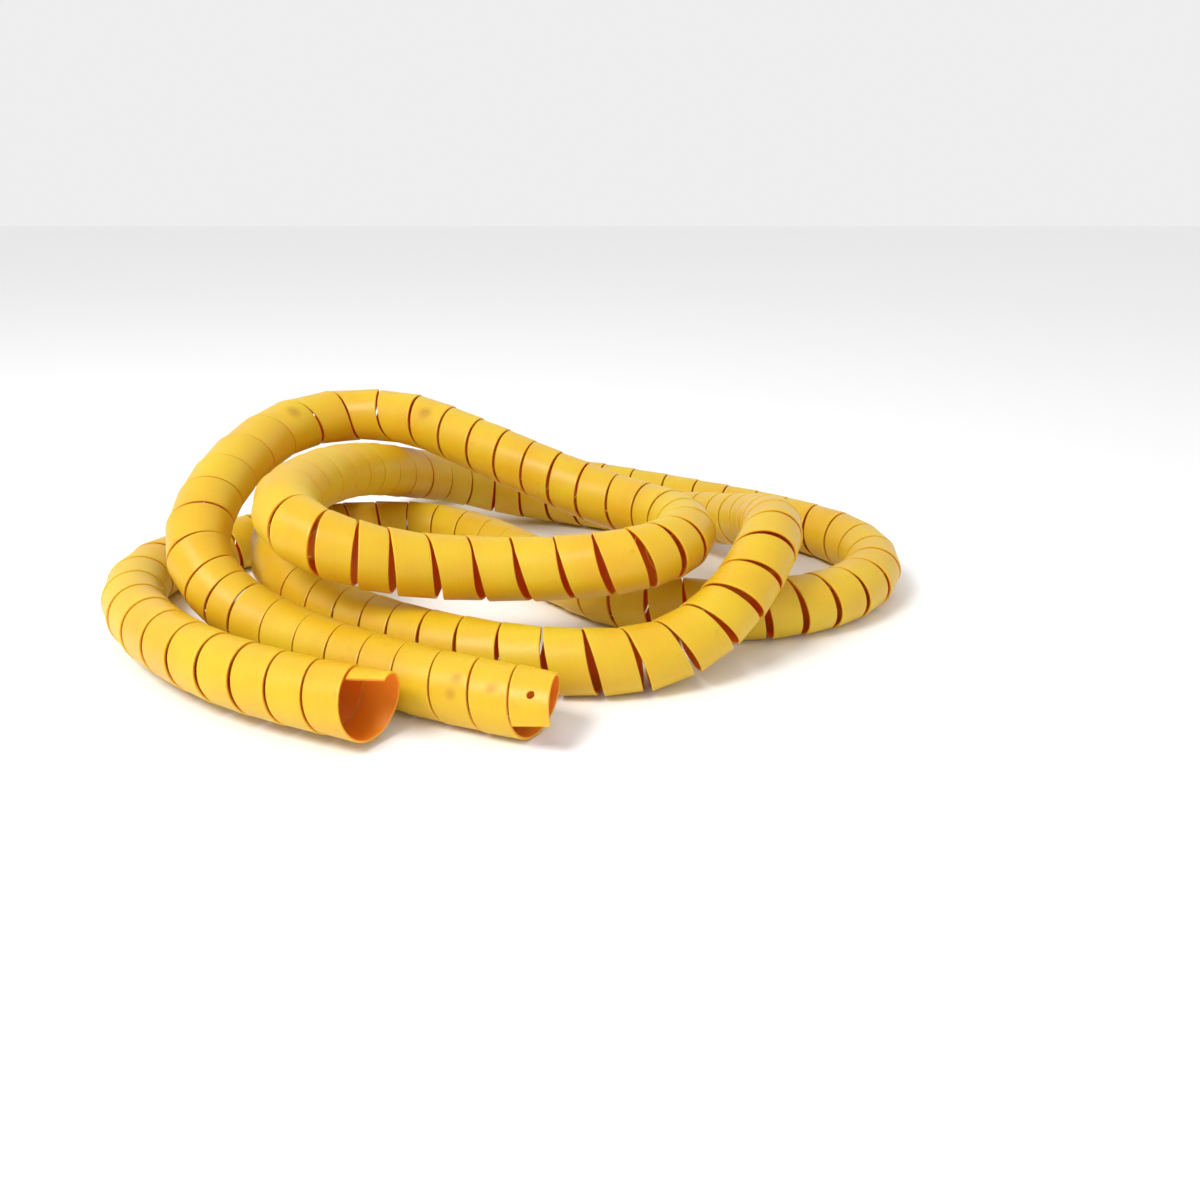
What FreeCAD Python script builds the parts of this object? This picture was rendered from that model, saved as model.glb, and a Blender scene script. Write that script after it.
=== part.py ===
"""Spiral hose guard: one long springy plastic strip wound into a sleeve, lying in loose loops.

The sleeve is a tube whose bore takes hoses or cables. Its wall is modelled closed: the turns of the
strip almost touch along the whole length, and the cut between them is a surface matter. The tube is
cut across into stretches that meet face to face, so that each stretch is a simple solid of its own.

Frame: +Z up, floor at Z = 0, origin under the middle of the bounding box, +X along the longest side.
"""
import FreeCAD
import Part
import math
import os

# Driving dimensions, in millimetres.
SLEEVE_DIAMETER = 50.0
WALL = 2.0
FIXING_HOLE_DIAMETER = 6.0
HOLE_FROM_MOUTH = 18.0
HOLE_TILT_DEGREES = 46.0
RUNS_PER_STRETCH = 3
ARC_SHARE = 0.45

BORE_DIAMETER = SLEEVE_DIAMETER - 2.0 * WALL

# The route of the sleeve's centre line, from mouth A to mouth B. On the floor, Z is the outer radius.
ROUTE = [
    # mouth A, the front run and the left bend of the floor loop
    (-62, -301, 31), (-132, -274, 31), (-205, -233, 32), (-271, -169, 30), (-318, -93, 27),
    (-329, -20, 25), (-299, 40, 25),
    # back across the floor, under the later loops, to the right
    (-239, 85, 25), (-169, 112, 25), (-93, 110, 25), (-29, 60, 25), (31, -20, 25),
    (91, -90, 25), (157, -113, 25), (227, -110, 25),
    # the right-hand loop, and away along the back
    (287, -77, 25), (327, -17, 25), (324, 55, 25), (279, 117, 25), (209, 173, 25),
    (131, 227, 25), (49, 280, 25), (-36, 305, 25), (-113, 285, 30),
    # over the floor run on the left, and down to the front
    (-161, 225, 50), (-183, 155, 75), (-199, 85, 80), (-211, 20, 68), (-206, -40, 50),
    (-181, -90, 38), (-139, -127, 30), (-89, -157, 25), (-36, -187, 25), (17, -207, 25),
    (69, -215, 25), (117, -205, 25),
    # over the floor run on the right, and back to the left behind the small loop
    (157, -185, 38), (189, -157, 62), (211, -117, 82), (224, -60, 82), (221, 15, 62),
    (194, 90, 40), (141, 150, 25), (69, 190, 25), (-11, 210, 30), (-79, 193, 52),
    # the small raised loop: left bend, front run, right bend
    (-123, 135, 75), (-149, 65, 98), (-166, -5, 110), (-176, -70, 115), (-173, -120, 115),
    (-156, -153, 110), (-126, -170, 100), (-79, -165, 85), (-23, -150, 75), (41, -150, 75),
    (97, -153, 82), (129, -135, 85), (147, -100, 85), (144, -57, 82), (121, -17, 80),
    # up and over the pile at the back, and down on the left to mouth B
    (81, 15, 82), (24, 45, 98), (-39, 83, 115), (-99, 123, 130), (-149, 145, 132),
    (-193, 135, 132), (-226, 95, 130), (-243, 40, 122), (-253, -20, 110), (-256, -75, 92),
    (-249, -113, 70), (-221, -140, 45), (-169, -170, 28), (-99, -217, 25), (-23, -260, 25),
    (54, -291, 25),
]


def route_points():
    """The route as vectors."""
    return [FreeCAD.Vector(*place) for place in ROUTE]


def corner_arc(before, corner, after):
    """The arc that rounds one corner of the route, as its two ends, its middle, radius and turn."""
    back = before - corner
    ahead = after - corner
    reach = ARC_SHARE * min(back.Length, ahead.Length)
    back.normalize()
    ahead.normalize()
    turn = math.pi - back.getAngle(ahead)
    radius = reach / math.tan(turn / 2.0)
    inward = back + ahead
    inward.normalize()
    depth = math.hypot(radius, reach) - radius
    start = corner + back * reach
    end = corner + ahead * reach
    return start, corner + inward * depth, end, radius, turn


def sleeve_path(points):
    """One list of edges per run: the straight part of the run and the arc that ends it."""
    runs = []
    place = points[0]
    for index in range(1, len(points) - 1):
        start, middle, end, radius, turn = corner_arc(*points[index - 1:index + 2])
        print("corner %2d: radius %6.1f mm, turn %4.1f degrees" % (index, radius, math.degrees(turn)))
        runs.append((Part.LineSegment(place, start), Part.Arc(start, middle, end)))
        place = end
    runs.append((Part.LineSegment(place, points[-1]), None))
    return runs


def ring(centre, direction):
    """The sleeve's section, a flat ring, square to the centre line."""
    outer = Part.Wire(Part.Circle(centre, direction, SLEEVE_DIAMETER / 2.0).toShape())
    inner = Part.Wire(Part.Circle(centre, direction, BORE_DIAMETER / 2.0).toShape())
    return Part.makeFace([outer, inner], "Part::FaceMakerBullseye")


def tube_along(curves):
    """The sleeve's wall along the given lines and arcs, each tangent to the next."""
    edges = [curve.toShape() for curve in curves]
    wire = Part.Wire(edges)
    first = edges[0]
    direction = first.tangentAt(first.FirstParameter)
    start = first.valueAt(first.FirstParameter)
    return wire.makePipe(ring(start, direction)), wire.Length


def stretches(runs):
    """Names and curves of the stretches: two straight mouths and the bends between them."""
    named = [("mouth_a", [runs[0][0]])]
    curves = [runs[0][1]]
    for number, (line, arc) in enumerate(runs[1:-1], start=1):
        half = (line.StartPoint + line.EndPoint) * 0.5
        if number % RUNS_PER_STRETCH == 0:
            curves.append(Part.LineSegment(line.StartPoint, half))
            named.append(("sleeve_%02d" % len(named), curves))
            curves = [Part.LineSegment(half, line.EndPoint), arc]
        else:
            curves += [line, arc]
    named.append(("sleeve_%02d" % len(named), curves))
    named.append(("mouth_b", [runs[-1][0]]))
    return named


def drill_fixing_hole(mouth, line):
    """Drill the small hole through the upper front of the wall beside mouth B."""
    along = line.StartPoint - line.EndPoint
    along.normalize()
    centre = line.EndPoint + along * HOLE_FROM_MOUTH
    sideways = FreeCAD.Vector(0, 0, 1).cross(along)
    tilt = math.radians(HOLE_TILT_DEGREES)
    outward = FreeCAD.Vector(0, 0, 1) * math.cos(tilt) + sideways * math.sin(tilt)
    drill = Part.makeCylinder(FIXING_HOLE_DIAMETER / 2.0, SLEEVE_DIAMETER, centre, outward)
    print("fixing hole: wall at", centre + outward * (SLEEVE_DIAMETER / 2.0), "facing", outward)
    return mouth.cut(drill)


def check_volume(name, shape, length):
    """Compare a stretch's volume with its section times its length."""
    section = math.pi * (SLEEVE_DIAMETER ** 2 - BORE_DIAMETER ** 2) / 4.0
    print("%-10s valid %s solids %d, length %6.1f mm, volume / (section x length) %.4f"
          % (name, shape.isValid(), len(shape.Solids), length, shape.Volume / (section * length)))


def main():
    os.makedirs("parts", exist_ok=True)
    runs = sleeve_path(route_points())
    total = 0.0
    box = FreeCAD.BoundBox()
    for name, curves in stretches(runs):
        shape, length = tube_along(curves)
        check_volume(name, shape, length)
        if name == "mouth_b":
            shape = drill_fixing_hole(shape, curves[0])
        if name.startswith("mouth"):
            print(name, "straight for %.2f mm from" % length, curves[0].StartPoint, "to", curves[0].EndPoint)
        total += length
        box.add(shape.optimalBoundingBox(False))
        shape.exportStep(os.path.join("parts", name + ".step"))
    print("sleeve length %.0f mm, box %s" % (total, box))


main()
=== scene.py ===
"""A spiral hose guard lying in loose loops: one springy yellow plastic strip wound into a sleeve."""

import math

import bpy
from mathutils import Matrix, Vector


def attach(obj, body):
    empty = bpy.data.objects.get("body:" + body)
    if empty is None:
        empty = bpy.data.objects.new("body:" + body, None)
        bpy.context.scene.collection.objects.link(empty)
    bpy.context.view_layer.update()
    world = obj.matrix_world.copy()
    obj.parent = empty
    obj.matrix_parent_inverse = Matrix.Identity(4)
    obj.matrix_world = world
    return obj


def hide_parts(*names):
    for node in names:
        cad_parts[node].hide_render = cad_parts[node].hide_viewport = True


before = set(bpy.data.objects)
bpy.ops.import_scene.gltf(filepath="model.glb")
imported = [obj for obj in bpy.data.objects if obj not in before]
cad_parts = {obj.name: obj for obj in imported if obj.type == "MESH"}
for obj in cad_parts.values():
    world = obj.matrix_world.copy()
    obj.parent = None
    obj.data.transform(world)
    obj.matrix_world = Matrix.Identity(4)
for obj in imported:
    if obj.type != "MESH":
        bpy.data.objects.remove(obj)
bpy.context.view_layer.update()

# Sizes in metres.
SLEEVE_DIAMETER = 0.050
RADIUS = SLEEVE_DIAMETER / 2
WALL = 0.002
EDGE_ROUND = 0.0006
SECTIONS_PER_TURN = 42
FIXING_HOLE_DIAMETER = 0.006
HOLE_FROM_MOUTH = 0.018
HOLE_TILT = math.radians(46)

# The seam between turns: its least gap, how much that wanders, and how far the strip's two edges lean,
# one out and one in.
SEAM_GAP = 0.0014
GAP_WANDER = 0.0004
SHINGLE = 0.00035
# The seam opens to the front and below, and to the outside of a bend, which weighs about as much where
# the sleeve's radius over the bend's radius is FULL_BEND. The opening begins a little past the sides.
OPEN_FRONT = Vector((0, -1.0, -0.5))
FULL_BEND = 0.3
PAST_SIDES = 0.1

# Colours of the plastic and of the floor.
BRIGHT_YELLOW = (0.72, 0.475, 0.017, 1)
DEEP_YELLOW = (0.71, 0.385, 0.012, 1)
# Painted highlight: a paler yellow laid along the strip's rounded outer edges.
EDGE_HIGHLIGHT_YELLOW = (0.78, 0.51, 0.045, 1)
# Painted shade: the face that looks into the bore is coloured a deep orange.
BORE_SHADE_ORANGE = (0.78, 0.25, 0.014, 1)
GRIME_BROWN = (0.36, 0.17, 0.015, 1)
FLOOR_WHITE = (0.93, 0.93, 0.93, 1)
# Grimy patches: (place on the sleeve, reach).
GRIME = [
    ((-0.021, -0.278, 0.043), 0.006), ((-0.025, -0.283, 0.034), 0.006), ((0.004, -0.290, 0.042), 0.006),
    ((-0.213, 0.081, 0.148), 0.010), ((-0.092, 0.097, 0.144), 0.009),
]

# The route of the sleeve's centre line, from mouth A to mouth B.
ROUTE = [
    # mouth A, the front run and the left bend of the floor loop
    (-0.062, -0.301, 0.031), (-0.132, -0.274, 0.031), (-0.205, -0.233, 0.032), (-0.271, -0.169, 0.030),
    (-0.318, -0.093, 0.027), (-0.329, -0.020, 0.025), (-0.299, 0.040, 0.025),
    # back across the floor, under the later loops, to the right
    (-0.239, 0.085, 0.025), (-0.169, 0.112, 0.025), (-0.093, 0.110, 0.025), (-0.029, 0.060, 0.025),
    (0.031, -0.020, 0.025), (0.091, -0.090, 0.025), (0.157, -0.113, 0.025), (0.227, -0.110, 0.025),
    # the right-hand loop, and away along the back
    (0.287, -0.077, 0.025), (0.327, -0.017, 0.025), (0.324, 0.055, 0.025), (0.279, 0.117, 0.025),
    (0.209, 0.173, 0.025), (0.131, 0.227, 0.025), (0.049, 0.280, 0.025), (-0.036, 0.305, 0.025),
    (-0.113, 0.285, 0.030),
    # over the floor run on the left, and down to the front
    (-0.161, 0.225, 0.050), (-0.183, 0.155, 0.075), (-0.199, 0.085, 0.080), (-0.211, 0.020, 0.068),
    (-0.206, -0.040, 0.050), (-0.181, -0.090, 0.038), (-0.139, -0.127, 0.030), (-0.089, -0.157, 0.025),
    (-0.036, -0.187, 0.025), (0.017, -0.207, 0.025), (0.069, -0.215, 0.025), (0.117, -0.205, 0.025),
    # over the floor run on the right, and back to the left behind the small loop
    (0.157, -0.185, 0.038), (0.189, -0.157, 0.062), (0.211, -0.117, 0.082), (0.224, -0.060, 0.082),
    (0.221, 0.015, 0.062), (0.194, 0.090, 0.040), (0.141, 0.150, 0.025), (0.069, 0.190, 0.025),
    (-0.011, 0.210, 0.030), (-0.079, 0.193, 0.052),
    # the small raised loop: left bend, front run, right bend
    (-0.123, 0.135, 0.075), (-0.149, 0.065, 0.098), (-0.166, -0.005, 0.110), (-0.176, -0.070, 0.115),
    (-0.173, -0.120, 0.115), (-0.156, -0.153, 0.110), (-0.126, -0.170, 0.100), (-0.079, -0.165, 0.085),
    (-0.023, -0.150, 0.075), (0.041, -0.150, 0.075), (0.097, -0.153, 0.082), (0.129, -0.135, 0.085),
    (0.147, -0.100, 0.085), (0.144, -0.057, 0.082), (0.121, -0.017, 0.080),
    # up and over the pile at the back, and down on the left to mouth B
    (0.081, 0.015, 0.082), (0.024, 0.045, 0.098), (-0.039, 0.083, 0.115), (-0.099, 0.123, 0.130),
    (-0.149, 0.145, 0.132), (-0.193, 0.135, 0.132), (-0.226, 0.095, 0.130), (-0.243, 0.040, 0.122),
    (-0.253, -0.020, 0.110), (-0.256, -0.075, 0.092), (-0.249, -0.113, 0.070), (-0.221, -0.140, 0.045),
    (-0.169, -0.170, 0.028), (-0.099, -0.217, 0.025), (-0.023, -0.260, 0.025), (0.054, -0.291, 0.025),
]

# How the strip is wound: (distance along the centre line, full turns made by then).
WINDING = [
    # mouth A and the left bend of the floor loop
    (0.000, 0.00), (0.054, 1.83), (0.114, 3.84), (0.178, 5.83), (0.251, 7.83), (0.331, 9.84),
    (0.450, 12.85),
    # across the floor to the right-hand loop
    (0.649, 19.14), (0.715, 21.13), (0.788, 23.16), (1.088, 33.21), (1.144, 35.21), (1.206, 37.20),
    # along the back and down on the left
    (1.405, 42.97), (1.475, 44.95), (1.549, 46.93), (1.632, 48.96),
    # the front of the big loop and its right bend
    (2.263, 69.12), (2.322, 71.14), (2.377, 73.18), (2.437, 75.18), (2.501, 77.17), (2.562, 79.18),
    (2.629, 81.19), (2.685, 83.20),
    # the small raised loop
    (3.662, 114.27), (3.712, 116.26), (3.777, 118.24), (3.846, 120.24), (3.903, 122.25), (3.947, 124.29),
    # over the top and down to mouth B
    (4.052, 127.82), (4.128, 129.93), (4.186, 131.91), (4.248, 133.89), (4.318, 135.84), (4.403, 137.84),
    (4.496, 139.84), (4.582, 141.90), (4.650, 143.94), (4.714, 146.05), (4.764, 148.16), (4.834, 150.12),
    (4.897, 152.09), (4.959, 154.14), (5.019, 156.12), (5.052, 157.22),
]
# How far the turns stand apart on their open side: (distance along the centre line, gap).
OPENINGS = [
    (0.00, 0.0016), (0.08, 0.0024), (0.14, 0.0038), (0.20, 0.0050), (0.45, 0.0048), (0.60, 0.0030),
    (0.90, 0.0022), (1.05, 0.0060), (1.30, 0.0060), (1.42, 0.0030), (1.80, 0.0022), (2.25, 0.0026),
    (2.40, 0.0038), (2.55, 0.0064), (2.72, 0.0062), (2.90, 0.0030), (3.50, 0.0030), (3.65, 0.0050),
    (3.75, 0.0062), (3.95, 0.0060), (4.08, 0.0028), (4.20, 0.0026), (4.60, 0.0028), (4.75, 0.0034),
    (4.90, 0.0026), (5.06, 0.0016),
]
# Where the strip starts at mouth A, in turns round the sleeve from its top.
STRIP_START = -0.045
# About one turn's length along the sleeve, as a first guess.
USUAL_PITCH = 0.030

# Sockets of a colour Mix node.
SHARE, FIRST, SECOND, MIXED = 0, 6, 7, 2


def make_camera():
    """A level camera in front, looking down, and a view that keeps the yellow bright."""
    bpy.ops.object.camera_add(location=(0.0765, -0.950, 0.369), rotation=(math.radians(68.2), 0, 0))
    camera = bpy.context.object
    camera.name = "camera"
    camera.data.lens = 33
    camera.data.sensor_width = 36
    camera.data.clip_start = 0.01
    bpy.context.scene.camera = camera
    bpy.context.scene.view_settings.view_transform = "Standard"


def route_line():
    """Points along the smooth curve that the route controls."""
    data = bpy.data.curves.new("route", "CURVE")
    data.dimensions = "3D"
    data.resolution_u = 16
    spline = data.splines.new("NURBS")
    spline.points.add(len(ROUTE) - 1)
    for point, place in zip(spline.points, ROUTE):
        point.co = (*place, 1)
    spline.order_u = 3
    spline.use_endpoint_u = True
    curve = bpy.data.objects.new("route", data)
    bpy.context.collection.objects.link(curve)
    bpy.context.view_layer.update()
    mesh = bpy.data.meshes.new_from_object(curve)
    points = [vertex.co.copy() for vertex in mesh.vertices]
    bpy.data.objects.remove(curve)
    bpy.data.meshes.remove(mesh)
    return points


class CentreLine:
    """The sleeve's centre line at even steps, with a frame that doesn't twist.

    Directions are taken over DIRECTION_REACH steps each way and bends over BEND_REACH.
    """

    STEP = 0.002
    DIRECTION_REACH = 4
    BEND_REACH = 6

    def __init__(self, points):
        steps = [(b - a).length for a, b in zip(points, points[1:])]
        self.length = sum(steps)
        count = round(self.length / self.STEP)
        self.step = self.length / count
        self.places = []
        index, reached = 0, 0.0
        for number in range(count + 1):
            wanted = min(number * self.step, self.length - 1e-9)
            while reached + steps[index] < wanted:
                reached += steps[index]
                index += 1
            share = (wanted - reached) / steps[index]
            self.places.append(points[index].lerp(points[index + 1], share))
        last = count
        self.along = []
        for number in range(count + 1):
            low, high = max(number - self.DIRECTION_REACH, 0), min(number + self.DIRECTION_REACH, last)
            self.along.append((self.places[high] - self.places[low]).normalized())
        self.normal = []
        normal = Vector((0, 0, 1))
        for along in self.along:
            normal = (normal - along * normal.dot(along)).normalized()
            self.normal.append(normal)
        self.bend = []
        for number in range(count + 1):
            low, high = max(number - self.BEND_REACH, 0), min(number + self.BEND_REACH, last)
            self.bend.append((self.along[high] - self.along[low]) / ((high - low) * self.step))

    def at(self, distance):
        """Place, direction, normal, side and bend at a distance; straight on past either end."""
        inside = min(max(distance, 0.0), self.length)
        position = min(inside / self.step, len(self.places) - 1.000001)
        index = int(position)
        share = position - index
        place = self.places[index].lerp(self.places[index + 1], share)
        along = self.along[index].lerp(self.along[index + 1], share).normalized()
        normal = self.normal[index].lerp(self.normal[index + 1], share)
        normal = (normal - along * normal.dot(along)).normalized()
        bend = self.bend[index].lerp(self.bend[index + 1], share)
        return place + along * (distance - inside), along, normal, along.cross(normal), bend


class Winding:
    """Full turns made against distance, smooth through the marks."""

    def __init__(self, marks):
        self.marks = marks
        rates = [(t1 - t0) / (d1 - d0) for (d0, t0), (d1, t1) in zip(marks, marks[1:])]
        self.slopes = [rates[0]]
        for before, after in zip(rates, rates[1:]):
            self.slopes.append(2 * before * after / (before + after))
        self.slopes.append(rates[-1])

    def turns(self, distance):
        """Turns made at a distance."""
        marks, slopes = self.marks, self.slopes
        if distance <= marks[0][0]:
            return marks[0][1] + (distance - marks[0][0]) * slopes[0]
        if distance >= marks[-1][0]:
            return marks[-1][1] + (distance - marks[-1][0]) * slopes[-1]
        index = max(i for i, mark in enumerate(marks[:-1]) if mark[0] <= distance)
        (d0, t0), (d1, t1) = marks[index], marks[index + 1]
        span = d1 - d0
        x = (distance - d0) / span
        return (
            t0 * (2 * x**3 - 3 * x**2 + 1)
            + slopes[index] * span * (x**3 - 2 * x**2 + x)
            + t1 * (3 * x**2 - 2 * x**3)
            + slopes[index + 1] * span * (x**3 - x**2)
        )

    def distance(self, turns, guess):
        """The distance at which that many turns have been made, by Newton's steps from a guess."""
        nudge = 0.0005
        for _ in range(6):
            rate = (self.turns(guess + nudge) - self.turns(guess - nudge)) / (2 * nudge)
            guess -= (self.turns(guess) - turns) / rate
        return guess


def strip_section(width):
    """The strip's cross-section with rounded outer corners and bevelled inner ones.

    Each point is (across, outwards, share), where the share runs from 0 to 1 over the outer face
    and from 1 to 2 back over the face that looks into the bore.
    """
    half, soft, inner = width / 2, EDGE_ROUND, EDGE_ROUND * 0.6
    outer = [
        (-half, -soft), (-half + 0.3 * soft, -0.3 * soft), (-half + soft, 0), (-half + 2.4 * soft, 0),
        (half - 2.4 * soft, 0), (half - soft, 0), (half - 0.3 * soft, -0.3 * soft), (half, -soft),
    ]
    hidden = [(half, inner - WALL), (half - inner, -WALL), (-half + inner, -WALL), (-half, inner - WALL)]
    section = [(a, r, 0.5 + a / width) for a, r in outer]
    section += [(a, r, 1.5 - a / width) for a, r in hidden]
    return section


def between(marks, distance):
    """The value at a distance, straight from mark to mark."""
    for (d0, v0), (d1, v1) in zip(marks, marks[1:]):
        if distance <= d1:
            return v0 + (v1 - v0) * max(distance - d0, 0.0) / (d1 - d0)
    return marks[-1][1]


def turn_gap(bend, outward, opening):
    """The gap between turns: a thin seam all round that opens towards the open side."""
    open_side = OPEN_FRONT - bend * RADIUS / FULL_BEND
    if open_side.length > 1:
        open_side.normalize()
    share = min(max(open_side.dot(outward) + PAST_SIDES, 0.0), 1.0)
    return SEAM_GAP + (opening - SEAM_GAP) * share


def wander(turn, seed):
    """A small unevenness, from -1 to 1, that changes from turn to turn."""
    slow = 0.2 * math.sin(0.37 * turn + 5 * seed)
    middling = 0.5 * math.sin(1.7 * turn + 2.3 * seed)
    quick = 0.3 * math.sin(4.1 * turn + seed)
    return middling + quick + slow


def strip_sections(line, winding):
    """Every point of the strip's sections in order, and where each lies on the strip."""
    end_turn = winding.turns(line.length) - 1
    count = round((end_turn - STRIP_START) * SECTIONS_PER_TURN)
    full_turn = 2 * math.pi
    strip_step = full_turn * RADIUS * (end_turn - STRIP_START) / count
    vertices, coordinates = [], []
    near_edge = 0.0
    run = 0.0
    for number in range(count + 1):
        turn = STRIP_START + (end_turn - STRIP_START) * number / count
        near_edge = winding.distance(turn, near_edge)
        far_edge = winding.distance(turn + 1, near_edge + USUAL_PITCH)
        pitch = far_edge - near_edge
        middle = (near_edge + far_edge) / 2
        place, along, normal, side, bend = line.at(middle)
        facing = normal * math.cos(full_turn * turn) + side * math.sin(full_turn * turn)
        gap = turn_gap(bend, facing, between(OPENINGS, middle)) + GAP_WANDER * wander(turn, 1)
        slope = pitch / (full_turn * RADIUS)
        width = pitch * (1 - RADIUS * bend.dot(facing)) / (1 + slope**2) - gap
        tilt = SHINGLE * (1 + wander(turn, 3))
        for across, outwards, share in strip_section(width):
            angle = full_turn * turn - across * slope / RADIUS
            outward = normal * math.cos(angle) + side * math.sin(angle)
            radius = RADIUS + outwards - tilt * 2 * across / width
            vertices.append(place + along * across + outward * radius)
            coordinates.append((run, share))
        run += strip_step
    return vertices, coordinates


def make_strip(line, winding):
    """The whole strip as one closed mesh wound along the centre line."""
    vertices, coordinates = strip_sections(line, winding)
    ring = len(strip_section(USUAL_PITCH))
    count = len(vertices) // ring - 1
    faces = []
    for number in range(count):
        first, second = number * ring, (number + 1) * ring
        for corner in range(ring):
            following = (corner + 1) % ring
            faces.append((first + corner, first + following, second + following, second + corner))
    faces.append(tuple(reversed(range(ring))))
    faces.append(tuple(range(count * ring, (count + 1) * ring)))
    mesh = bpy.data.meshes.new("spiral_strip")
    mesh.from_pydata(vertices, [], faces)
    layer = mesh.uv_layers.new(name="strip")
    for loop in mesh.loops:
        layer.data[loop.index].uv = coordinates[loop.vertex_index]
    strip = bpy.data.objects.new("spiral_strip", mesh)
    bpy.context.collection.objects.link(strip)
    return strip


def select_only(piece):
    """Select one piece and make it the active one."""
    bpy.ops.object.select_all(action="DESELECT")
    piece.select_set(True)
    bpy.context.view_layer.objects.active = piece


def drill_hole(strip, line):
    """The small fixing hole near mouth B."""
    place, along, _, _, _ = line.at(line.length - HOLE_FROM_MOUTH)
    up = Vector((0, 0, 1))
    front = along.cross(up).normalized()
    outward = (up * math.cos(HOLE_TILT) + front * math.sin(HOLE_TILT)).normalized()
    bpy.ops.object.select_all(action="DESELECT")
    bpy.ops.mesh.primitive_cylinder_add(
        vertices=32,
        radius=FIXING_HOLE_DIAMETER / 2,
        depth=6 * WALL,
        location=place + outward * RADIUS,
        rotation=outward.to_track_quat("Z", "Y").to_euler(),
    )
    drill = bpy.context.object
    select_only(strip)
    cut = strip.modifiers.new("hole", "BOOLEAN")
    cut.operation = "DIFFERENCE"
    cut.object = drill
    cut.solver = "FAST"
    bpy.ops.object.modifier_apply(modifier=cut.name)
    bpy.data.objects.remove(drill)


def finish_strip(strip):
    """Outward faces and shading that keeps the strip's edges crisp."""
    select_only(strip)
    bpy.ops.object.mode_set(mode="EDIT")
    bpy.ops.mesh.select_all(action="SELECT")
    bpy.ops.mesh.normals_make_consistent(inside=False)
    bpy.ops.object.mode_set(mode="OBJECT")
    bpy.ops.object.shade_smooth_by_angle(angle=math.radians(35))


def node(tree, kind, place, values=None, **settings):
    """A shader node with its settings and plain socket values."""
    made = tree.nodes.new(kind)
    made.location = place
    for name, value in settings.items():
        setattr(made, name, value)
    for socket, value in (values or {}).items():
        made.inputs[socket].default_value = value
    return made


def join(tree, source, output, target, socket):
    """Link one node's output to another node's input."""
    tree.links.new(source.outputs[output], target.inputs[socket])


def near_place(tree, coordinates, centre, reach, place):
    """A soft round patch, 1 at a place on the sleeve and 0 beyond its reach."""
    away = node(tree, "ShaderNodeVectorMath", place, {1: centre}, operation="DISTANCE")
    join(tree, coordinates, "Object", away, 0)
    patch = node(
        tree, "ShaderNodeMapRange", (place[0] + 180, place[1]),
        {"From Min": reach, "From Max": reach * 0.25, "To Min": 0.0, "To Max": 1.0},
    )
    join(tree, away, "Value", patch, "Value")
    return patch


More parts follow.
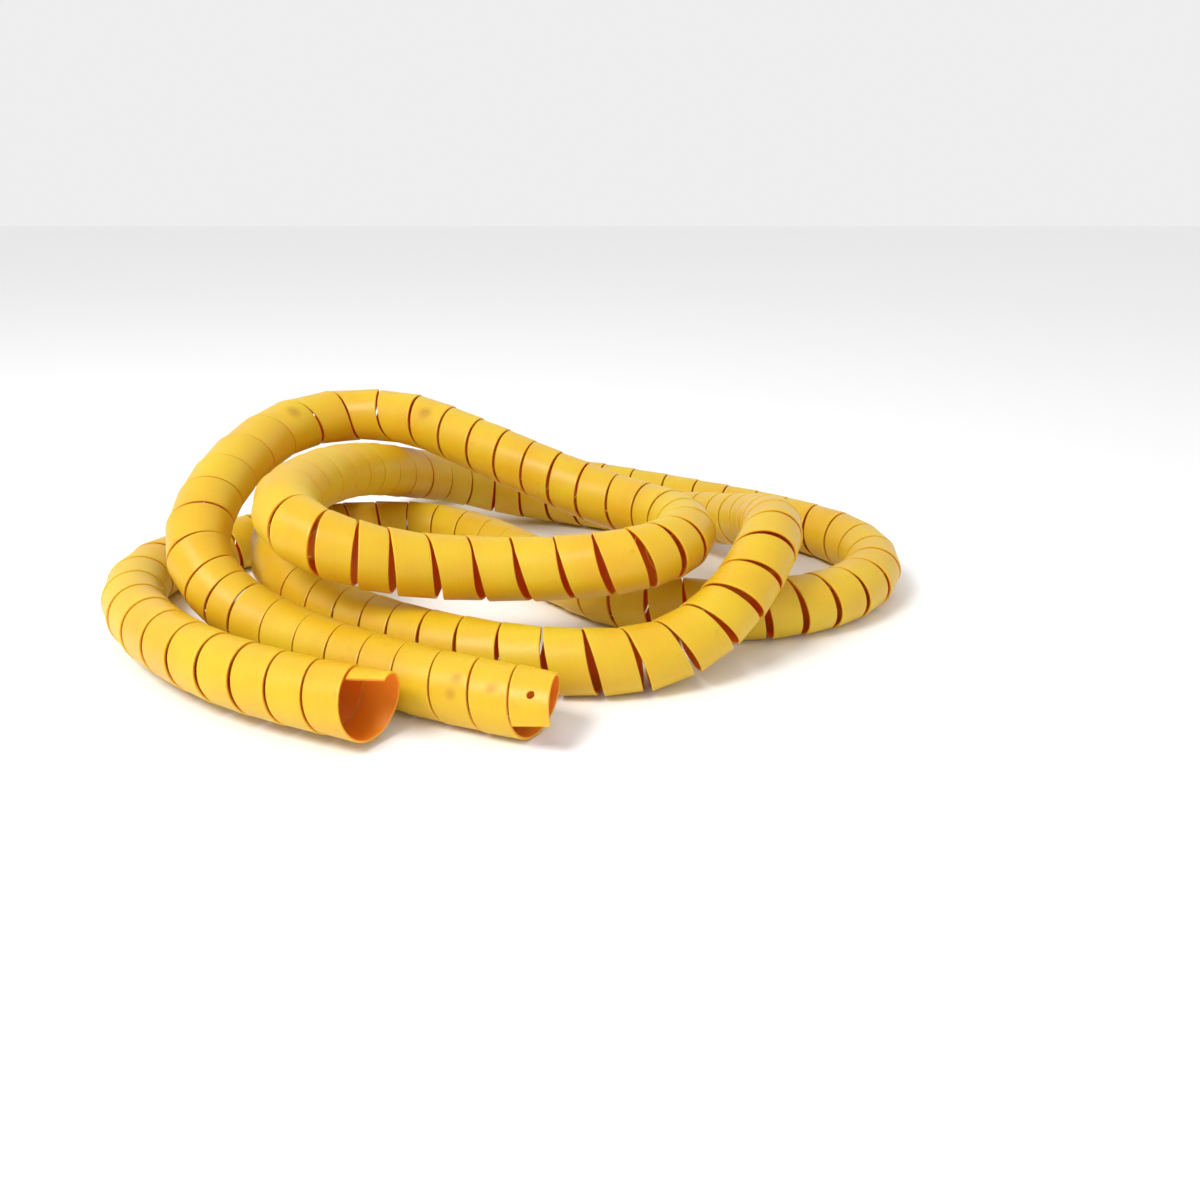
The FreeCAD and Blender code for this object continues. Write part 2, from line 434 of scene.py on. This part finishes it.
def yellow_plastic():
    """Satin yellow extruded plastic: faint lines along the strip, uneven tint, scuffs and grimy patches."""
    material = bpy.data.materials.new("yellow_plastic")
    material.use_nodes = True
    tree = material.node_tree
    shader = tree.nodes["Principled BSDF"]
    shader.inputs["IOR"].default_value = 1.5
    shader.inputs["Specular IOR Level"].default_value = 0.38
    shader.inputs["Subsurface Weight"].default_value = 0.6
    shader.inputs["Subsurface Radius"].default_value = (1.0, 0.32, 0.03)
    shader.inputs["Subsurface Scale"].default_value = 0.009
    coordinates = node(tree, "ShaderNodeTexCoord", (-1900, 0))
    strip_map = node(tree, "ShaderNodeUVMap", (-1900, -500), uv_map="strip")
    across = node(tree, "ShaderNodeSeparateXYZ", (-1700, -500))
    join(tree, strip_map, "UV", across, 0)

    # Slow changes of tint over the whole sleeve.
    tint = node(tree, "ShaderNodeTexNoise", (-1500, 300), {"Scale": 14.0, "Detail": 3.0, "Roughness": 0.55})
    join(tree, coordinates, "Object", tint, "Vector")
    tint_colour = node(tree, "ShaderNodeValToRGB", (-1300, 300))
    tint_colour.color_ramp.elements[0].position = 0.32
    tint_colour.color_ramp.elements[0].color = DEEP_YELLOW
    tint_colour.color_ramp.elements[1].position = 0.68
    tint_colour.color_ramp.elements[1].color = BRIGHT_YELLOW
    join(tree, tint, "Fac", tint_colour, "Fac")

    # Faint extrusion lines that run along the strip.
    stretched = node(tree, "ShaderNodeMapping", (-1500, -500), {"Scale": (3.0, 34.0, 1.0)})
    join(tree, strip_map, "UV", stretched, "Vector")
    lines = node(tree, "ShaderNodeTexNoise", (-1300, -500), {"Scale": 1.0, "Detail": 2.0, "Roughness": 0.6})
    join(tree, stretched, "Vector", lines, "Vector")
    lined = node(tree, "ShaderNodeMix", (-900, 200), {SHARE: 0.10}, data_type="RGBA", blend_type="OVERLAY")
    join(tree, tint_colour, "Color", lined, FIRST)
    join(tree, lines, "Fac", lined, SECOND)

    # Painted highlight, a paler yellow, along the strip's rounded outer edges, and painted shade, a deep
    # orange, on the face that looks into the bore.
    from_middle = node(tree, "ShaderNodeMath", (-1300, -750), {1: 0.5}, operation="SUBTRACT")
    join(tree, across, "Y", from_middle, 0)
    either_side = node(tree, "ShaderNodeMath", (-1120, -750), operation="ABSOLUTE")
    join(tree, from_middle, "Value", either_side, 0)
    edge = node(
        tree, "ShaderNodeMapRange", (-940, -750),
        {"From Min": 0.455, "From Max": 0.495, "To Min": 0.0, "To Max": 1.0},
    )
    join(tree, either_side, "Value", edge, "Value")
    bore = node(
        tree, "ShaderNodeMapRange", (-940, -1000),
        {"From Min": 0.98, "From Max": 1.02, "To Min": 0.0, "To Max": 1.0},
    )
    join(tree, across, "Y", bore, "Value")
    outer_edge = node(tree, "ShaderNodeMath", (-760, -800), operation="SUBTRACT", use_clamp=True)
    join(tree, edge, "Result", outer_edge, 0)
    join(tree, bore, "Result", outer_edge, 1)
    edge_highlight_share = node(tree, "ShaderNodeMath", (-580, -800), {1: 0.30}, operation="MULTIPLY")
    join(tree, outer_edge, "Value", edge_highlight_share, 0)
    # Painted highlight: the outer face turns paler yellow near both edges of the strip.
    edge_highlighted = node(tree, "ShaderNodeMix", (-700, 200), {SECOND: EDGE_HIGHLIGHT_YELLOW}, data_type="RGBA")
    join(tree, edge_highlight_share, "Value", edge_highlighted, SHARE)
    join(tree, lined, MIXED, edge_highlighted, FIRST)
    # Painted shade: the face that looks into the bore turns deep orange.
    deep = node(tree, "ShaderNodeMix", (-500, 200), {SECOND: BORE_SHADE_ORANGE}, data_type="RGBA")
    join(tree, bore, "Result", deep, SHARE)
    join(tree, edge_highlighted, MIXED, deep, FIRST)

    # Small scuffs here and there, and grimy patches by mouth B and on the top of the pile.
    scuffs = node(
        tree, "ShaderNodeTexNoise", (-1300, -1250),
        {"Scale": 75.0, "Detail": 4.0, "Roughness": 0.6},
    )
    join(tree, coordinates, "Object", scuffs, "Vector")
    scuff_mask = node(
        tree, "ShaderNodeMapRange", (-1100, -1250),
        {"From Min": 0.66, "From Max": 0.78, "To Min": 0.0, "To Max": 0.35},
    )
    join(tree, scuffs, "Fac", scuff_mask, "Value")
    mask = scuff_mask
    for number, (centre, reach) in enumerate(GRIME):
        patch = near_place(tree, coordinates, centre, reach, (-1500, -1500 - 200 * number))
        broken = node(tree, "ShaderNodeMath", (-1100, -1500 - 200 * number), operation="MULTIPLY")
        join(tree, patch, "Result", broken, 0)
        join(tree, scuffs, "Fac", broken, 1)
        summed = node(tree, "ShaderNodeMath", (-900, -1400 - 200 * number), operation="MAXIMUM")
        join(tree, mask, 0, summed, 0)
        join(tree, broken, "Value", summed, 1)
        mask = summed
    grimed = node(tree, "ShaderNodeMix", (-300, 200), {SECOND: GRIME_BROWN}, data_type="RGBA")
    join(tree, mask, 0, grimed, SHARE)
    join(tree, deep, MIXED, grimed, FIRST)
    join(tree, grimed, MIXED, shader, "Base Color")

    # Satin gloss, a little uneven, duller where it is scuffed.
    gloss = node(
        tree, "ShaderNodeMapRange", (-500, -100),
        {"From Min": 0.3, "From Max": 0.7, "To Min": 0.34, "To Max": 0.46},
    )
    join(tree, tint, "Fac", gloss, "Value")
    dull = node(tree, "ShaderNodeMath", (-300, -100), {1: 0.25}, operation="MULTIPLY")
    join(tree, mask, 0, dull, 0)
    roughness = node(tree, "ShaderNodeMath", (-150, -100), operation="ADD")
    join(tree, gloss, "Result", roughness, 0)
    join(tree, dull, "Value", roughness, 1)
    join(tree, roughness, "Value", shader, "Roughness")
    ridges = node(tree, "ShaderNodeBump", (-300, -400), {"Strength": 0.25, "Distance": 0.0004})
    join(tree, lines, "Fac", ridges, "Height")
    join(tree, ridges, "Normal", shader, "Normal")
    return material


def pale_floor():
    """A plain matt floor."""
    material = bpy.data.materials.new("pale_floor")
    material.use_nodes = True
    shader = material.node_tree.nodes["Principled BSDF"]
    shader.inputs["Base Color"].default_value = FLOOR_WHITE
    shader.inputs["Roughness"].default_value = 0.9
    bpy.ops.object.select_all(action="DESELECT")
    bpy.ops.mesh.primitive_plane_add(size=12, location=(0, 0, 0))
    floor = bpy.context.object
    floor.name = "floor"
    floor.data.materials.append(material)


def soft_light():
    """One soft light above the front left and an even white surround."""
    world = bpy.data.worlds.new("studio")
    bpy.context.scene.world = world
    world.use_nodes = True
    background = world.node_tree.nodes["Background"]
    background.inputs["Color"].default_value = (1.0, 1.0, 1.0, 1)
    background.inputs["Strength"].default_value = 0.86
    place = Vector((-0.9, -1.1, 1.7))
    bpy.ops.object.light_add(type="AREA", location=place)
    light = bpy.context.object
    light.name = "key_light"
    light.data.size = 0.7
    light.data.energy = 31
    light.rotation_euler = (-place).to_track_quat("-Z", "Y").to_euler()


make_camera()
line = CentreLine(route_line())
strip = make_strip(line, Winding(WINDING))
drill_hole(strip, line)
finish_strip(strip)
strip.data.materials.append(yellow_plastic())
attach(strip, "root")
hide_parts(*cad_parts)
pale_floor()
soft_light()
